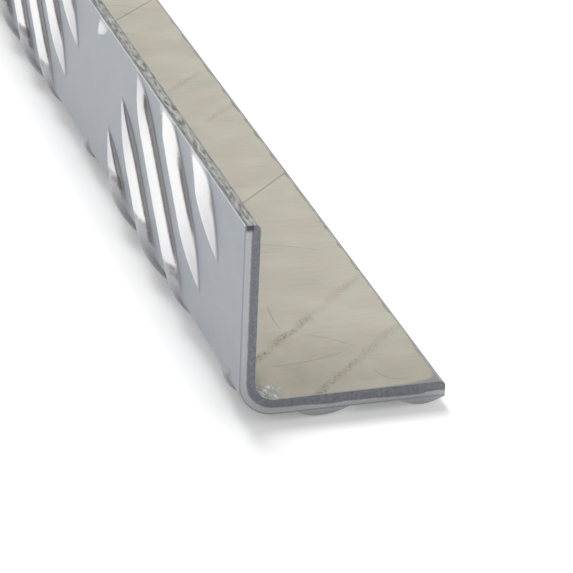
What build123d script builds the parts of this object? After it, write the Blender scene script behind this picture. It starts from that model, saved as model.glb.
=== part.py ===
from build123d import *
from math import atan, cos, degrees, pi, sin, sqrt
import os

os.makedirs("parts", exist_ok=True)

# Folded section: sheet thickness without the bars, leg widths over the sheet's outer faces
LENGTH = 1000.0
LEG_FLOOR = 20.0
LEG_WALL = 19.2
SHEET = 1.5
BEND_INSIDE = 2.0
DIE_ROLL = 0.5  # rounding that the shear leaves along the plain face's long edges
PRESSED_RUN = 3.0  # width along those edges over which the shear presses the bars down
PRESSED_HEIGHT = 0.1  # what is left of their height at the edge

# Tread bars: ridges with sloping flanks, a narrow crest and pointed tips
BAR_LENGTH = 27.0
BAR_WIDTH = 4.7
BAR_HEIGHT = 0.8
BAR_TIP = 5.0  # length of each pointed tip
CREST_WIDTH = BAR_WIDTH / 3

# Rolled pattern: square groups of parallel bars at 45 degrees, each turned against its neighbours
GROUP_BARS = 5
BAR_SPACING = 8.0
GROUP_PITCH = 38.8
GROUP_Y = 28.6  # centre of a group on the wall leg, from the near end
GROUP_S = -8.8  # and from the bend's middle, across the flat sheet towards the wall leg's edge

# Flat blank: s runs across it from the bend's middle, positive on the floor leg
BEND_OUTSIDE = BEND_INSIDE + SHEET
BEND_FLAT = (BEND_INSIDE + SHEET / 2) * pi / 2
S_FLOOR = BEND_FLAT / 2 + LEG_FLOOR - BEND_OUTSIDE
S_WALL = -(BEND_FLAT / 2 + LEG_WALL - BEND_OUTSIDE)

# Bar flanks: rise over run, the half angle of a tip in plan, and how far a bar reaches into the sheet
BAR_SLOPE = 2 * BAR_HEIGHT / (BAR_WIDTH - CREST_WIDTH)
TIP_ANGLE = atan(BAR_WIDTH / 2 / BAR_TIP)
FOOT = 0.4


def relief(u, v):
    """Height of a bar's flanks over the sheet, u along the bar and v across it from its middle."""
    flank = BAR_WIDTH / 2 - abs(v)
    tip = (BAR_LENGTH / 2 - abs(u)) * sin(TIP_ANGLE) - abs(v) * cos(TIP_ANGLE)
    return BAR_SLOPE * min(flank, tip)


def across(u, side, level):
    """Where a section at 45 degrees through u meets the bar's flank at a level, across from its middle."""
    inside, outside = 0.0, BAR_WIDTH
    for _ in range(30):
        v = (inside + outside) / 2
        if relief(u + side * v, v) > level:
            inside = v
        else:
            outside = v
    return side * inside


def skin(s):
    """Plane on the outer face at s: x along the stock, y across the blank, z outward."""
    turn = min(max(s / BEND_FLAT + 0.5, 0), 1) * pi / 2
    out = Vector(-cos(turn), 0, -sin(turn))
    side = Vector(sin(turn), 0, -cos(turn))
    flat = max(abs(s) - BEND_FLAT / 2, 0) * (1 if s > 0 else -1)
    centre = Vector(BEND_OUTSIDE, 0, BEND_OUTSIDE)
    return Plane(centre + out * BEND_OUTSIDE + side * flat, x_dir=(0, 1, 0), z_dir=out)


def wrapped_bar(y, s, lean):
    """A bar carried round the bend: sections in planes through the bend's axis, lofted."""
    reach, knee = BAR_LENGTH / 2 / sqrt(2), (BAR_LENGTH / 2 - BAR_TIP) / sqrt(2)
    stations = [s - reach, s + reach]
    for k in [BEND_FLAT * (i / 4 - 0.5) for i in range(5)] + [s - knee, s + knee]:
        if abs(k - s) < reach and min(abs(k - other) for other in stations) > 0.6:
            stations.append(k)
    with BuildPart() as lofted:
        for station in sorted(stations):
            face = skin(station)
            u = lean * (station - s) * sqrt(2)
            top = min(BAR_HEIGHT, relief(u, 0) - FOOT / 8)
            rim = [(across(u, -1, -FOOT), -FOOT), (across(u, -1, top), top)]
            rim += [(across(u, 1, top), top), (across(u, 1, -FOOT), -FOOT)]
            with BuildSketch(Plane(face.origin, x_dir=(0, 1, 0), z_dir=-face.y_dir)):
                with BuildLine():
                    Polyline([(y + lean * (station - s) + v * sqrt(2), z) for v, z in rim], close=True)
                make_face()
        loft(ruled=True)
    return lofted.part


# One flat bar, along x on a sheet face at z = 0
with BuildPart() as bar:
    with BuildSketch(Plane.XY.offset(-FOOT)):
        with BuildLine():
            Polyline(
                (-BAR_LENGTH / 2, 0),
                (BAR_TIP - BAR_LENGTH / 2, -BAR_WIDTH / 2),
                (BAR_LENGTH / 2 - BAR_TIP, -BAR_WIDTH / 2),
                (BAR_LENGTH / 2, 0),
                (BAR_LENGTH / 2 - BAR_TIP, BAR_WIDTH / 2),
                (BAR_TIP - BAR_LENGTH / 2, BAR_WIDTH / 2),
                close=True,
            )
        make_face()
        offset(amount=FOOT / BAR_SLOPE, kind=Kind.INTERSECTION)
    extrude(amount=FOOT + BAR_HEIGHT, taper=degrees(atan(1 / BAR_SLOPE)))

# Bars that meet the blank: flat ones on either leg, and those that run over the bend
step = GROUP_PITCH / sqrt(2)
half = BAR_LENGTH / 2 / sqrt(2)
seen = half - BAR_TIP / 2  # a bar that only touches the blank's edge with its tip is left off
floor_leg, wall_leg = skin(BEND_FLAT / 2), skin(-BEND_FLAT / 2)
bars = []
for row in range(-2, 3):
    lean = 1 if row % 2 else -1
    for column in range(-2, int(LENGTH / step) + 3):
        for k in range(GROUP_BARS):
            shift = (k - (GROUP_BARS - 1) / 2) * BAR_SPACING / sqrt(2)
            y = GROUP_Y + column * step + shift
            s = GROUP_S + row * step - lean * shift
            inside = -seen < y < LENGTH + seen and S_WALL - seen < s < S_FLOOR + seen
            if (row + column) % 2 or not inside:
                continue
            if abs(s) < half + BEND_FLAT / 2:
                bars.append(wrapped_bar(y, s, lean))
            elif s > 0:
                bars.append(floor_leg * Pos(y, s - BEND_FLAT / 2) * Rot(Z=45 * lean) * bar.part)
            else:
                bars.append(wall_leg * Pos(y, s + BEND_FLAT / 2) * Rot(Z=45 * lean) * bar.part)

# Sheet, folded: an L section with a round bend, the long edges of its plain face rolled by the shear
with BuildPart() as sheet:
    with BuildSketch(Plane.XZ) as section:
        with BuildLine():
            Polyline(
                (0, 0),
                (LEG_FLOOR, 0),
                (LEG_FLOOR, SHEET),
                (SHEET, SHEET),
                (SHEET, LEG_WALL),
                (0, LEG_WALL),
                close=True,
            )
        make_face()
        corners = section.vertices()
        fillet(corners.sort_by_distance((0, 0))[0], BEND_OUTSIDE)
        fillet(section.vertices().sort_by_distance((SHEET, SHEET))[0], BEND_INSIDE)
        rims = [section.vertices().sort_by_distance(p)[0] for p in ((LEG_FLOOR, SHEET), (SHEET, LEG_WALL))]
        fillet(rims, DIE_ROLL)
    extrude(amount=-LENGTH)

# Bars sheared off flush with the blank's edges and ends, and pressed down along its long edges
clear = 2 * BAR_HEIGHT
run = PRESSED_RUN * (clear - PRESSED_HEIGHT) / (BAR_HEIGHT - PRESSED_HEIGHT)
with BuildPart() as tread:
    add(bars)
    with BuildSketch(Plane.XZ):
        with BuildLine():
            Polyline(
                (LEG_FLOOR, LEG_WALL),
                (-PRESSED_HEIGHT, LEG_WALL),
                (-clear, LEG_WALL - run),
                (-clear, -clear),
                (LEG_FLOOR - run, -clear),
                (LEG_FLOOR, -PRESSED_HEIGHT),
                close=True,
            )
        make_face()
    extrude(amount=-LENGTH, mode=Mode.INTERSECT)

with BuildPart() as angle:
    add(sheet.part)
    add(tread.part)

# Stored as it lies, with the bottom centre of its box at the origin
stock = Pos((BAR_HEIGHT - LEG_FLOOR) / 2, -LENGTH / 2, BAR_HEIGHT) * angle.part
stock.label = "tread_angle"
export_step(stock, "parts/tread_angle.step")
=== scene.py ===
import math

import bmesh
import bpy
from mathutils import Matrix, Vector


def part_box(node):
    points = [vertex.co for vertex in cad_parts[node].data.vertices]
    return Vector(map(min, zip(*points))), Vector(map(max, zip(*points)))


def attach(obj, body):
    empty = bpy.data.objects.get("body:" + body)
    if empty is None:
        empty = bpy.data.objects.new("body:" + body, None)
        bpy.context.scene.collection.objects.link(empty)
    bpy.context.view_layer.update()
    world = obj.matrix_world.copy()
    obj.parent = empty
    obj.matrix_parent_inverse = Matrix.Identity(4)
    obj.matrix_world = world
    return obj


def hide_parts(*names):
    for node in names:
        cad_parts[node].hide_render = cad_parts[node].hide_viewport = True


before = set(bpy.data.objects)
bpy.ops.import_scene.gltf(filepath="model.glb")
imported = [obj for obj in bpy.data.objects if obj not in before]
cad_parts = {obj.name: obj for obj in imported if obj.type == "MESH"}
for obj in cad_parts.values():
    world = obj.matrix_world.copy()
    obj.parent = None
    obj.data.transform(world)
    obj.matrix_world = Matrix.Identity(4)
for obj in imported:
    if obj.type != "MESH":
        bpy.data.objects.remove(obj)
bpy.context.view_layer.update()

# Tread angle: a strip of five-bar aluminium tread plate, rolled with its bars, sheared to width and
# length and folded once in a press brake with the bars outside. It is made here in the same order,
# as a flat blank in millimetres: x from the near end, y across from the bend, z out of the tread face.
MM = 0.001
low, high = (Vector(corner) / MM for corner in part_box("tread_angle"))
sheet = 1.5  # thickness without the bars
bend_inside = 2.0  # radius
die_roll = 0.5  # rounding that the shear leaves along the plain face's long edges
pressed_run = 3.0  # width along those edges over which the shear presses the bars down
pressed_height = 0.1  # what is left of their height at the edge
bar_height = 0.8
bar_width = 4.7
bar_length = 27.0
bar_tip = 7.5  # length of each tapering tip
bar_spacing = 8.0
group_bars = 5
group_pitch = 38.8
group_x, group_y = 28.6, -8.8  # centre of a group on the wall leg
length = high.y - low.y
leg_floor = high.x - low.x - bar_height
leg_wall = high.z - low.z - bar_height
bend_outside = bend_inside + sheet
bend_flat = (bend_inside + sheet / 2) * math.pi / 2
floor_edge = bend_flat / 2 + leg_floor - bend_outside
wall_edge = -(bend_flat / 2 + leg_wall - bend_outside)
touching = 1e-4  # points nearer than this are one
hair = 0.01  # a smaller difference doesn't count


def everything(bm):
    """All the geometry of a bmesh, as its operators take it."""
    return [*bm.verts, *bm.edges, *bm.faces]


def only(kind, geometry):
    """The vertices, edges or faces among an operator's geometry."""
    return [g for g in geometry if isinstance(g, kind)]


def turned(degrees, axis):
    """A turn about an axis through the origin."""
    return Matrix.Rotation(math.radians(degrees), 4, axis)


# One bar: a grid pulled to a ridge of circular section, its tips narrowing and falling to a point.
# Each point remembers how far it is from the nearer tip, for the finish.
along_cuts, across_cuts = 16, 12
knee = 0.25  # share of the grid's half length that becomes the bar's straight stretch
straight = bar_length / 2 - bar_tip
radius = (bar_width**2 / 4 + bar_height**2) / (2 * bar_height)
bm = bmesh.new()
to_tip = bm.verts.layers.float.new("to_tip")
bar = bmesh.ops.create_grid(bm, x_segments=along_cuts, y_segments=across_cuts, size=1.0)["verts"]
for v in bar:
    past = max(abs(v.co.x) - knee, 0.0) / (1 - knee)
    u = straight * min(abs(v.co.x) / knee, 1.0) + bar_tip * past
    taper = 1 - past * past
    side = v.co.y * bar_width / 2
    rise = math.sqrt(radius**2 - side**2) - (radius - bar_height)
    v.co = (math.copysign(u, v.co.x), side * taper, rise * taper)
    v[to_tip] = bar_length / 2 - u
bmesh.ops.remove_doubles(bm, verts=bar, dist=touching)
bar = everything(bm)

# Rolled plate: the bar laid out in groups of five, each group turned against its neighbours, and flat
# sheet filled in around their feet
step = group_pitch / math.sqrt(2)
spare = 2  # rows of groups to either side, and columns past either end, for the shear to cut
for row in range(-spare, spare + 1):
    lean = 1 if row % 2 else -1
    for column in range(-spare, int(length / step) + spare + 1):
        if (row + column) % 2:
            continue
        for k in range(group_bars):
            shift = (k - (group_bars - 1) / 2) * bar_spacing / math.sqrt(2)
            x = group_x + column * step + shift
            y = group_y + row * step - lean * shift
            meets_length = -bar_length < x < length + bar_length
            meets_width = wall_edge - bar_length < y < floor_edge + bar_length
            if not (meets_length and meets_width):
                continue
            copied = bmesh.ops.duplicate(bm, geom=bar)["geom"]
            place = Matrix.Translation((x, y, 0)) @ turned(45 * lean, "Z")
            bmesh.ops.transform(bm, matrix=place, verts=only(bmesh.types.BMVert, copied))
bmesh.ops.delete(bm, geom=only(bmesh.types.BMVert, bar), context="VERTS")
feet = [e for e in bm.edges if e.is_boundary]
for e in feet:
    e.smooth = False  # a bar rises from the sheet at a crease
margin = 3 * bar_length  # plate around the blank, so that its rim clears every bar
plate_corners = [
    bm.verts.new((x, y, 0))
    for x, y in (
        (-margin, wall_edge - margin),
        (length + margin, wall_edge - margin),
        (length + margin, floor_edge + margin),
        (-margin, floor_edge + margin),
    )
]
plate_rim = [bm.edges.new(pair) for pair in zip(plate_corners, plate_corners[1:] + plate_corners[:1])]
bmesh.ops.triangle_fill(bm, edges=feet + plate_rim, use_beauty=True, normal=(0, 0, 1))

# Sheared blank: cut to width and length, its bars pressed down along the long edges, then given the
# sheet's thickness and a plain back. The finishes' slots are numbered from the tread face, which is 0.
plain_slot, end_slot, edge_slot = 1, 2, 3
for point, outward in (
    ((0, 0, 0), (-1, 0, 0)),
    ((length, 0, 0), (1, 0, 0)),
    ((0, wall_edge, 0), (0, -1, 0)),
    ((0, floor_edge, 0), (0, 1, 0)),
):
    bmesh.ops.bisect_plane(
        bm, geom=everything(bm), plane_co=point, plane_no=outward, clear_outer=True, dist=touching
    )
pressed_share = pressed_height / bar_height
for v in bm.verts:
    inward = min(min(v.co.y - wall_edge, floor_edge - v.co.y) / pressed_run, 1.0)
    v.co.z *= pressed_share + (1 - pressed_share) * math.sin(inward * math.pi / 2)
border = [e for e in bm.edges if e.is_boundary]
walls = bmesh.ops.extrude_edge_only(bm, edges=border)["geom"]
for v in only(bmesh.types.BMVert, walls):
    v.co.z = -sheet
for f in only(bmesh.types.BMFace, walls):
    f.normal_update()
    f.material_index = edge_slot if abs(f.normal.y) > 0.5 else end_slot
# Each wall becomes one face: its uprights go, apart from those at the blank's four corners
corners = [Vector((x, y)) for x in (0, length) for y in (wall_edge, floor_edge)]
upright = []
for e in bm.edges:
    one, other = (v.co for v in e.verts)
    stands = abs(one.z - other.z) > sheet - hair
    if stands and min((one.xy - corner).length for corner in corners) > hair:
        upright.append(e)
bmesh.ops.dissolve_edges(bm, edges=upright, use_verts=True)
back_rim = [e for e in bm.edges if e.is_boundary]
bmesh.ops.edgeloop_fill(bm, edges=back_rim, mat_nr=plain_slot)
long_rim = [e for e in back_rim if abs(e.verts[0].co.y - e.verts[1].co.y) < hair]
bmesh.ops.bevel(
    bm, geom=long_rim, offset=die_roll, segments=4, profile=0.5, affect="EDGES", material=edge_slot
)

# Folded: edge loops across the bend, then every point carried round the bend's centre. Each point
# remembers its place on the flat blank, for the finishes.
bend_steps = 16
for k in range(bend_steps + 1):
    crease = (0, bend_flat * (k / bend_steps - 0.5), 0)
    bmesh.ops.bisect_plane(bm, geom=everything(bm), plane_co=crease, plane_no=(0, 1, 0), dist=touching)
blank = bm.verts.layers.float_vector.new("blank")
bend_centre = Vector((bend_outside, bend_outside))
for v in bm.verts:
    v[blank] = v.co
    x, y, z = v.co
    turn = min(max(y / bend_flat + 0.5, 0), 1) * math.pi / 2
    flat = math.copysign(max(abs(y) - bend_flat / 2, 0), y)
    outward = Vector((-math.cos(turn), -math.sin(turn)))
    sideways = Vector((math.sin(turn), -math.cos(turn)))
    folded = bend_centre + outward * (bend_outside + z) + sideways * flat
    v.co = (low.x + bar_height + folded.x, low.y + x, low.z + bar_height + folded.y)
bmesh.ops.scale(bm, vec=(MM, MM, MM), verts=bm.verts)
bmesh.ops.recalc_face_normals(bm, faces=bm.faces)
sharp = math.radians(32)
for f in bm.faces:
    f.smooth = True
for e in bm.edges:
    if e.calc_face_angle(0.0) > sharp:
        e.smooth = False
mesh = bpy.data.meshes.new("folded_tread_plate")
bm.to_mesh(mesh)
bm.free()
angle = bpy.data.objects.new("folded_tread_plate", mesh)
bpy.context.collection.objects.link(angle)


class Socket:
    """A shader socket that takes part in arithmetic; every operation adds a Math node."""

    def __init__(self, tree, socket):
        self.tree, self.socket = tree, socket

    def put(self, value, slot):
        if isinstance(value, Socket):
            self.tree.links.new(value.socket, slot)
        else:
            slot.default_value = value

    def math(self, operation, *others):
        made = self.tree.nodes.new("ShaderNodeMath")
        made.operation = operation
        for value, slot in zip((self, *others), made.inputs):
            self.put(value, slot)
        return Socket(self.tree, made.outputs[0])

    def node(self, kind, output=0, **inputs):
        """Any other node: its settings as set_NAME, its inputs by name with _ for spaces, or as i0, i1."""
        made = self.tree.nodes.new(kind)
        for name, value in inputs.items():
            if name.startswith("set_"):
                setattr(made, name[4:], value)
        for name, value in inputs.items():
            if name.startswith("set_"):
                continue
            numbered = name[1:].isdigit()
            self.put(value, made.inputs[int(name[1:]) if numbered else name.replace("_", " ")])
        return Socket(self.tree, made.outputs[output])

    def axis(self, k):
        """One coordinate of a vector."""
        return self.node("ShaderNodeSeparateXYZ", k, Vector=self)

    def ramp(self, none, full):
        """A smooth step from 0 at one value to 1 at another, which may be the lower of the two."""
        return self.node(
            "ShaderNodeMapRange",
            Value=self,
            From_Min=none,
            From_Max=full,
            set_interpolation_type="SMOOTHSTEP",
        )

    def mix(self, start, end):
        """Colour between start and end by this value."""
        return self.node("ShaderNodeMix", 2, i0=self, i6=start, i7=end, set_data_type="RGBA")

    def noise(self, scale, detail=3.0, roughness=0.55):
        return self.node("ShaderNodeTexNoise", Vector=self, Scale=scale, Detail=detail, Roughness=roughness)

    def stretched(self, x, y, z):
        return self.node("ShaderNodeVectorMath", Vector=self, i1=(x, y, z), set_operation="MULTIPLY")

    def bump(self, strength, distance):
        return self.node("ShaderNodeBump", Height=self, Strength=strength, Distance=distance)

    def __add__(self, other):
        return self.math("ADD", other)

    def __sub__(self, other):
        return self.math("SUBTRACT", other)

    def __rsub__(self, other):
        return (self * -1.0) + other

    def __mul__(self, other):
        return self.math("MULTIPLY", other)

    def __truediv__(self, other):
        return self.math("DIVIDE", other)

    def __mod__(self, other):
        return self.math("FLOORED_MODULO", other)

    def __pow__(self, other):
        return self.math("POWER", other)

    def __abs__(self):
        return self.math("ABSOLUTE")

    __radd__, __rmul__ = __add__, __mul__


def aluminium(name):
    """A metal finish: its material, its shader and the points' places on the flat blank."""
    material = bpy.data.materials.new(name)
    material.use_nodes = True
    tree = material.node_tree
    shader = tree.nodes["Principled BSDF"]
    shader.inputs["Metallic"].default_value = 1.0
    attribute = tree.nodes.new("ShaderNodeAttribute")
    attribute.attribute_name = "blank"
    return material, shader, Socket(tree, attribute.outputs["Vector"])


def feed(shader, **inputs):
    for name, value in inputs.items():
        value.tree.links.new(value.socket, shader.inputs[name.replace("_", " ")])


# Tread face: satin mill finish from the rolls, the bars burnished bright, their colour dimmer toward the
# tips.
# Over the bend the bars are painted darker, most at its middle, with a painted dark band where that starts:
# painted reflection of the floor's shadow beside the bend
tread_face, shader, at = aluminium("tread face")
bend_shade_reach = 4.4  # half the width over which the bars carry painted shade at the bend
across = at.axis(1)
raised = at.axis(2).ramp(0.02, 0.2)
from_tip = at.node("ShaderNodeAttribute", "Fac", set_attribute_name="to_tip")
cloud = at.noise(0.35)
grain = at.stretched(0.25, 3.0, 1.0).noise(2.0)
from_bend = abs(across) + cloud * 0.8
# painted shade on the bars over the bend, standing in for their reflection of the floor's shadow
bend_zone = from_bend.ramp(bend_shade_reach, bend_shade_reach - 0.7)
# a painted dark band along the edge of that zone, from the same reflection
shadow_band_rim = from_bend.ramp(bend_shade_reach, bend_shade_reach - 0.5) * from_bend.ramp(bend_shade_reach - 1.5, bend_shade_reach - 0.9)
shadow_band = shadow_band_rim * at.noise(0.8).ramp(0.4, 0.6)
dull = cloud.mix((0.256, 0.279, 0.306, 1), (0.304, 0.329, 0.361, 1))
# the bars' colour, dimmer toward their tips
tip_to_middle = (from_tip + at.noise(0.7) * 3.0).ramp(1.0, 11.5)
bright = tip_to_middle.mix((0.48, 0.48, 0.495, 1), (0.73, 0.73, 0.735, 1))
# painted shade over the bend, darkest at its middle
bend_shade_colour = abs(across).ramp(0.8, 3.0).mix((0.15, 0.15, 0.16, 1), (0.34, 0.345, 0.36, 1))
bar_colour = bend_zone.mix(bright, bend_shade_colour)
feed(
    shader,
    Base_Color=(raised * shadow_band * 0.8).mix(raised.mix(dull, bar_colour), (0.20, 0.18, 0.18, 1)),
    Roughness=0.36 + grain * 0.08 - raised * (0.25 - bend_zone * 0.12),
    Normal=grain.bump(0.15, 0.02 * MM),
)

# Plain face: the sheet's back, matt and slightly warm, rolled grey along its edges and corners by the shear,
# with painted shade darkening it toward the bend and toward the ends, and in the bend at each end a darker
# painted shade with small painted glints. The bars of the sheet above rubbed dark speckled lines into it,
# and handling left scored lines and fine scratches.
plain_face, shader, at = aluminium("plain face")
along, across = at.axis(0), at.axis(1)
to_end = along.math("MINIMUM", length - along)
to_edge = (floor_edge - across).math("MINIMUM", across - wall_edge)
cloud = at.noise(0.25)
grain = at.stretched(4.0, 0.25, 1.0).noise(1.0)


def around(value, place, repeat):
    """Distance from the nearest of the places that lie a repeat apart, with its sign."""
    return (value - (place - repeat / 2)) % repeat - repeat / 2


def scratch(start, end, bow, repeat):
    """A fine scratch between two points along and across the blank, bowed sideways, that comes again."""
    start, end = Vector(start), Vector(end)
    middle, reach = (start + end) / 2, (end - start).length / 2
    lead = (end - start).normalized()
    x, y = around(along, middle.x, repeat), across - middle.y
    u, v = x * lead.x + y * lead.y, y * lead.x - x * lead.y
    off = v - (1 - (u / reach) ** 2.0) * bow
    return abs(off).ramp(0.11, 0.03) * abs(u).ramp(reach, reach * 0.7)


bar_line = bar_spacing * math.sqrt(2)  # from one rubbed line to the next, along the blank
group_repeat = 2 * step
first_line, first_group, first_run = 6.2, -13.0, 5.0  # where the lines start on the pattern's diagonals
diagonal = along - across + cloud * 2.0
line = abs(around(diagonal, first_line, bar_line)).ramp(0.95, 0.1)
in_group = ((diagonal - first_group) % group_repeat).ramp(24.5, 23.5)
in_run = ((along + across - first_run) % group_repeat).ramp(38.0, 35.0)
faded = 1 - across.ramp(8.0, 14.0) * 0.55
rubbed = line * in_group * in_run * at.noise(0.3, 2.0).ramp(0.3, 0.6) * faded
specks = at.noise(4.0, 2.0, 0.6).ramp(0.5, 0.64)
scored_line = 30.7
scored = abs(around(along - across, scored_line, group_repeat)).ramp(0.25, 0.05) * across.ramp(8.0, 11.0)
scratches = (
    scratch((6.3, 2.5), (8.0, 12.0), 0.6, 67.0)
    + scratch((12.0, 8.5), (8.4, 12.8), -0.3, 83.0)
    + scratch((3.9, 12.9), (1.6, 16.1), 1.3, 97.0)
    + scratch((18.5, 7.0), (13.0, 6.8), 0.2, 59.0)
    + scratch((33.0, 5.5), (29.0, 16.5), -0.8, 71.0)
)
marks = (rubbed * (specks * 0.6 + 0.15) + scratches * 0.25 + scored * 0.4).math("MINIMUM", 0.75)
warm = at.noise(0.5).ramp(0.35, 0.65).mix((0.595, 0.53, 0.46, 1), (0.515, 0.52, 0.43, 1))
clean = (cloud * 0.6 + grain * 0.4).ramp(0.3, 0.7).mix(warm, (0.635, 0.615, 0.53, 1))
# painted shade: darker toward the bend and toward the ends, mottled
painted_shade = (abs(across).ramp(18.0, 4.0) + to_end.ramp(16.0, 2.0)) * (at.noise(0.45, 4.0) * 0.2 + 0.15)
shaded = painted_shade.mix(clean, (0.26, 0.235, 0.19, 1))
marked = marks.mix(shaded, (0.12, 0.09, 0.055, 1))
rolled_corner = (to_end * to_edge + cloud).ramp(2.0, 1.1)
rolled_edge = (to_edge + at.noise(0.4)).ramp(1.1, 0.95)
rolled = rolled_corner.math("MAXIMUM", rolled_edge).mix(marked, (0.33, 0.335, 0.32, 1))
# painted shade in the bend at each end
bend_end_shade_and_glint = to_end.ramp(4.0, 1.8) * abs(across - 1.2).ramp(2.6, 1.2) * 0.6
bend_end_shaded = bend_end_shade_and_glint.mix(rolled, (0.33, 0.345, 0.325, 1))
# small painted glints in the same place, in the concave bend
bend_end_glints = bend_end_shade_and_glint * at.stretched(0.7, 1.5, 1.0).noise(1.6, 2.0).ramp(0.5, 0.62)
feed(
    shader,
    Base_Color=bend_end_glints.mix(bend_end_shaded, (0.80, 0.81, 0.81, 1)),
    Roughness=0.46 + grain * 0.1,
    Normal=grain.bump(0.2, 0.02 * MM),
)

# Sheared ends: a burnished band with fine drag lines next to the tread face, then the darker torn metal,
# which starts sooner on the floor leg, and a painted shadow of a burr at the wall leg's edge
sheared_end, shader, at = aluminium("sheared end")
across = at.axis(1)
depth = at.axis(2) * (-1 / sheet)  # 0 at the tread face, 1 at the plain face
tear = at.noise(2.5, 5.0, 0.7)
drag = at.stretched(0.1, 0.1, 5.0).noise(1.2)
# painted shadow of a burr at the wall leg's edge
burr_shadow = (across - wall_edge).ramp(0.8, 0.35) * abs(depth - 0.33).ramp(0.34, 0.14)
sooner = across.ramp(0.0, 5.0) * at.noise(0.12).ramp(0.3, 0.7) * 0.24
torn = (depth + tear * 0.25 + sooner).ramp(0.53, 0.64)
band = drag.mix((0.33, 0.335, 0.35, 1), (0.42, 0.425, 0.44, 1))
band = abs(depth - 0.04).ramp(0.08, 0.03).mix(band, (0.27, 0.28, 0.30, 1))
rough = tear.ramp(0.3, 0.7).mix((0.165, 0.175, 0.195, 1), (0.24, 0.25, 0.27, 1))
feed(
    shader,
    Base_Color=(burr_shadow * 0.95).mix(torn.mix(band, rough), (0.06, 0.062, 0.066, 1)),
    Roughness=0.4 + torn * 0.2,
    Normal=tear.bump(0.4, 0.1 * MM),
)

# Sheared long edges: a painted highlight along the arris at the tread face, a dark band beside it, then
# coarse torn metal, streaked along the stock, that rolls into the plain face past a second dark band
sheared_edge, shader, at = aluminium("sheared edge")
depth = at.axis(2) * (-1 / sheet)
tear = at.stretched(0.3, 1.0, 1.8).noise(1.9, 5.0, 0.65)
coarse = tear.ramp(0.35, 0.62).mix((0.20, 0.20, 0.20, 1), (0.56, 0.56, 0.53, 1))
# dark bands beside the arris and before the roll
by_arris = abs(depth + tear * 0.1 - 0.22).ramp(0.16, 0.05)
by_roll = abs(depth + tear * 0.2 - 0.9).ramp(0.1, 0.03)
dark_banded = (by_arris.math("MAXIMUM", by_roll) * 0.6).mix(coarse, (0.22, 0.22, 0.215, 1))
rolled = (depth + tear * 0.3).ramp(0.85, 1.1).mix(dark_banded, (0.46, 0.46, 0.44, 1))
# painted highlight along the arris
arris_highlight = (depth + tear * 0.08).ramp(0.15, 0.08)
feed(
    shader,
    Base_Color=arris_highlight.mix(rolled, (0.68, 0.69, 0.70, 1)),
    Roughness=0.45 + tear * 0.15,
    Normal=tear.bump(0.6, 0.15 * MM),
)

for finish in (tread_face, plain_face, sheared_end, sheared_edge):
    mesh.materials.append(finish)
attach(angle, "root")
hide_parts("tread_angle")

# Floor: a sheet of white paper, brightened a little for the eye and for reflections, so that it shows
# white and its shadows stay pale
floor_reach = 12.0
floor_mesh = bpy.data.meshes.new("floor")
bm = bmesh.new()
bmesh.ops.create_grid(bm, x_segments=1, y_segments=1, size=floor_reach)
bm.to_mesh(floor_mesh)
bm.free()
floor = bpy.data.objects.new("floor", floor_mesh)
bpy.context.collection.objects.link(floor)
paper = bpy.data.materials.new("white paper")
paper.use_nodes = True
shader = paper.node_tree.nodes["Principled BSDF"]
shader.inputs["Base Color"].default_value = (0.9, 0.9, 0.9, 1)
shader.inputs["Roughness"].default_value = 1.0
shader.inputs["Specular IOR Level"].default_value = 0.0
shader.inputs["Emission Strength"].default_value = 1.0
ray = paper.node_tree.nodes.new("ShaderNodeLightPath")
brightened = ("Is Camera Ray", "Is Glossy Ray", "Is Transmission Ray")
seen = sum(Socket(paper.node_tree, ray.outputs[kind]) for kind in brightened)
feed(shader, Emission_Color=seen.mix((0, 0, 0, 1), (0.2, 0.2, 0.2, 1)))
floor_mesh.materials.append(paper)

# Studio: a room dark at its foot, white at its sides and grey overhead, a soft lamp above for the metal,
# and three behind it, one above another, for the paper alone, which draw a soft shadow in front of the
# near end and along the wall leg
world = bpy.data.worlds.new("studio")
bpy.context.scene.world = world
world.use_nodes = True
tree = world.node_tree
room = Socket(tree, tree.nodes.new("ShaderNodeTexCoord").outputs["Generated"])
up = room.axis(2)
foot = up.ramp(0.06, 0.14).mix((0.17, 0.15, 0.145, 1), (0.42, 0.42, 0.43, 1))
sides = up.ramp(0.2, 0.4).mix(foot, (0.9, 0.9, 0.9, 1))
ceiling = up.ramp(0.5, 0.7).mix(sides, (0.45, 0.45, 0.45, 1))
feed(tree.nodes["Background"], Color=ceiling)


def soft_lamp(name, strength, spread, turn, climb, lit):
    """A distant round lamp, its spread, heading and height in degrees, that lights one thing only."""
    lamp = bpy.data.lights.new(name, "SUN")
    lamp.energy = strength
    lamp.angle = math.radians(spread)
    hung = bpy.data.objects.new(name, lamp)
    bpy.context.collection.objects.link(hung)
    hung.matrix_world = turned(-turn, "Z") @ turned(climb - 90, "X")
    hung.light_linking.receiver_collection = bpy.data.collections.new(name)
    hung.light_linking.receiver_collection.objects.link(lit)


soft_lamp("lamp overhead", 2.55, 17.0, -45.0, 86.0, angle)
for climb in (22.0, 36.0, 50.0):
    soft_lamp(f"lamp behind {climb:.0f}", 1.19, 28.0, -1.0, climb, floor)

# Camera: the photograph's, a long lens that looks down and across the near end from its left
heading, dip, roll = 18.282, 25.963, 2.548  # degrees off the stock's line, level and upright
focal_px, frame_px = 2800.0, 573
sensor = 36.0
near_corner = Vector((low.x + bar_height, low.y, low.z + bar_height))
stand_off = Vector((-3.3137, -10.65, 6.1057)) * leg_floor  # from the bend's near corner
lens = bpy.data.cameras.new("camera")
lens.sensor_width = sensor
lens.lens = sensor * focal_px / frame_px
camera = bpy.data.objects.new("camera", lens)
bpy.context.collection.objects.link(camera)
aim = turned(-heading, "Z") @ turned(90 - dip, "X") @ turned(roll, "Z")
camera.matrix_world = Matrix.Translation((near_corner + stand_off) * MM) @ aim
scene = bpy.context.scene
scene.camera = camera
scene.view_settings.view_transform = "Standard"
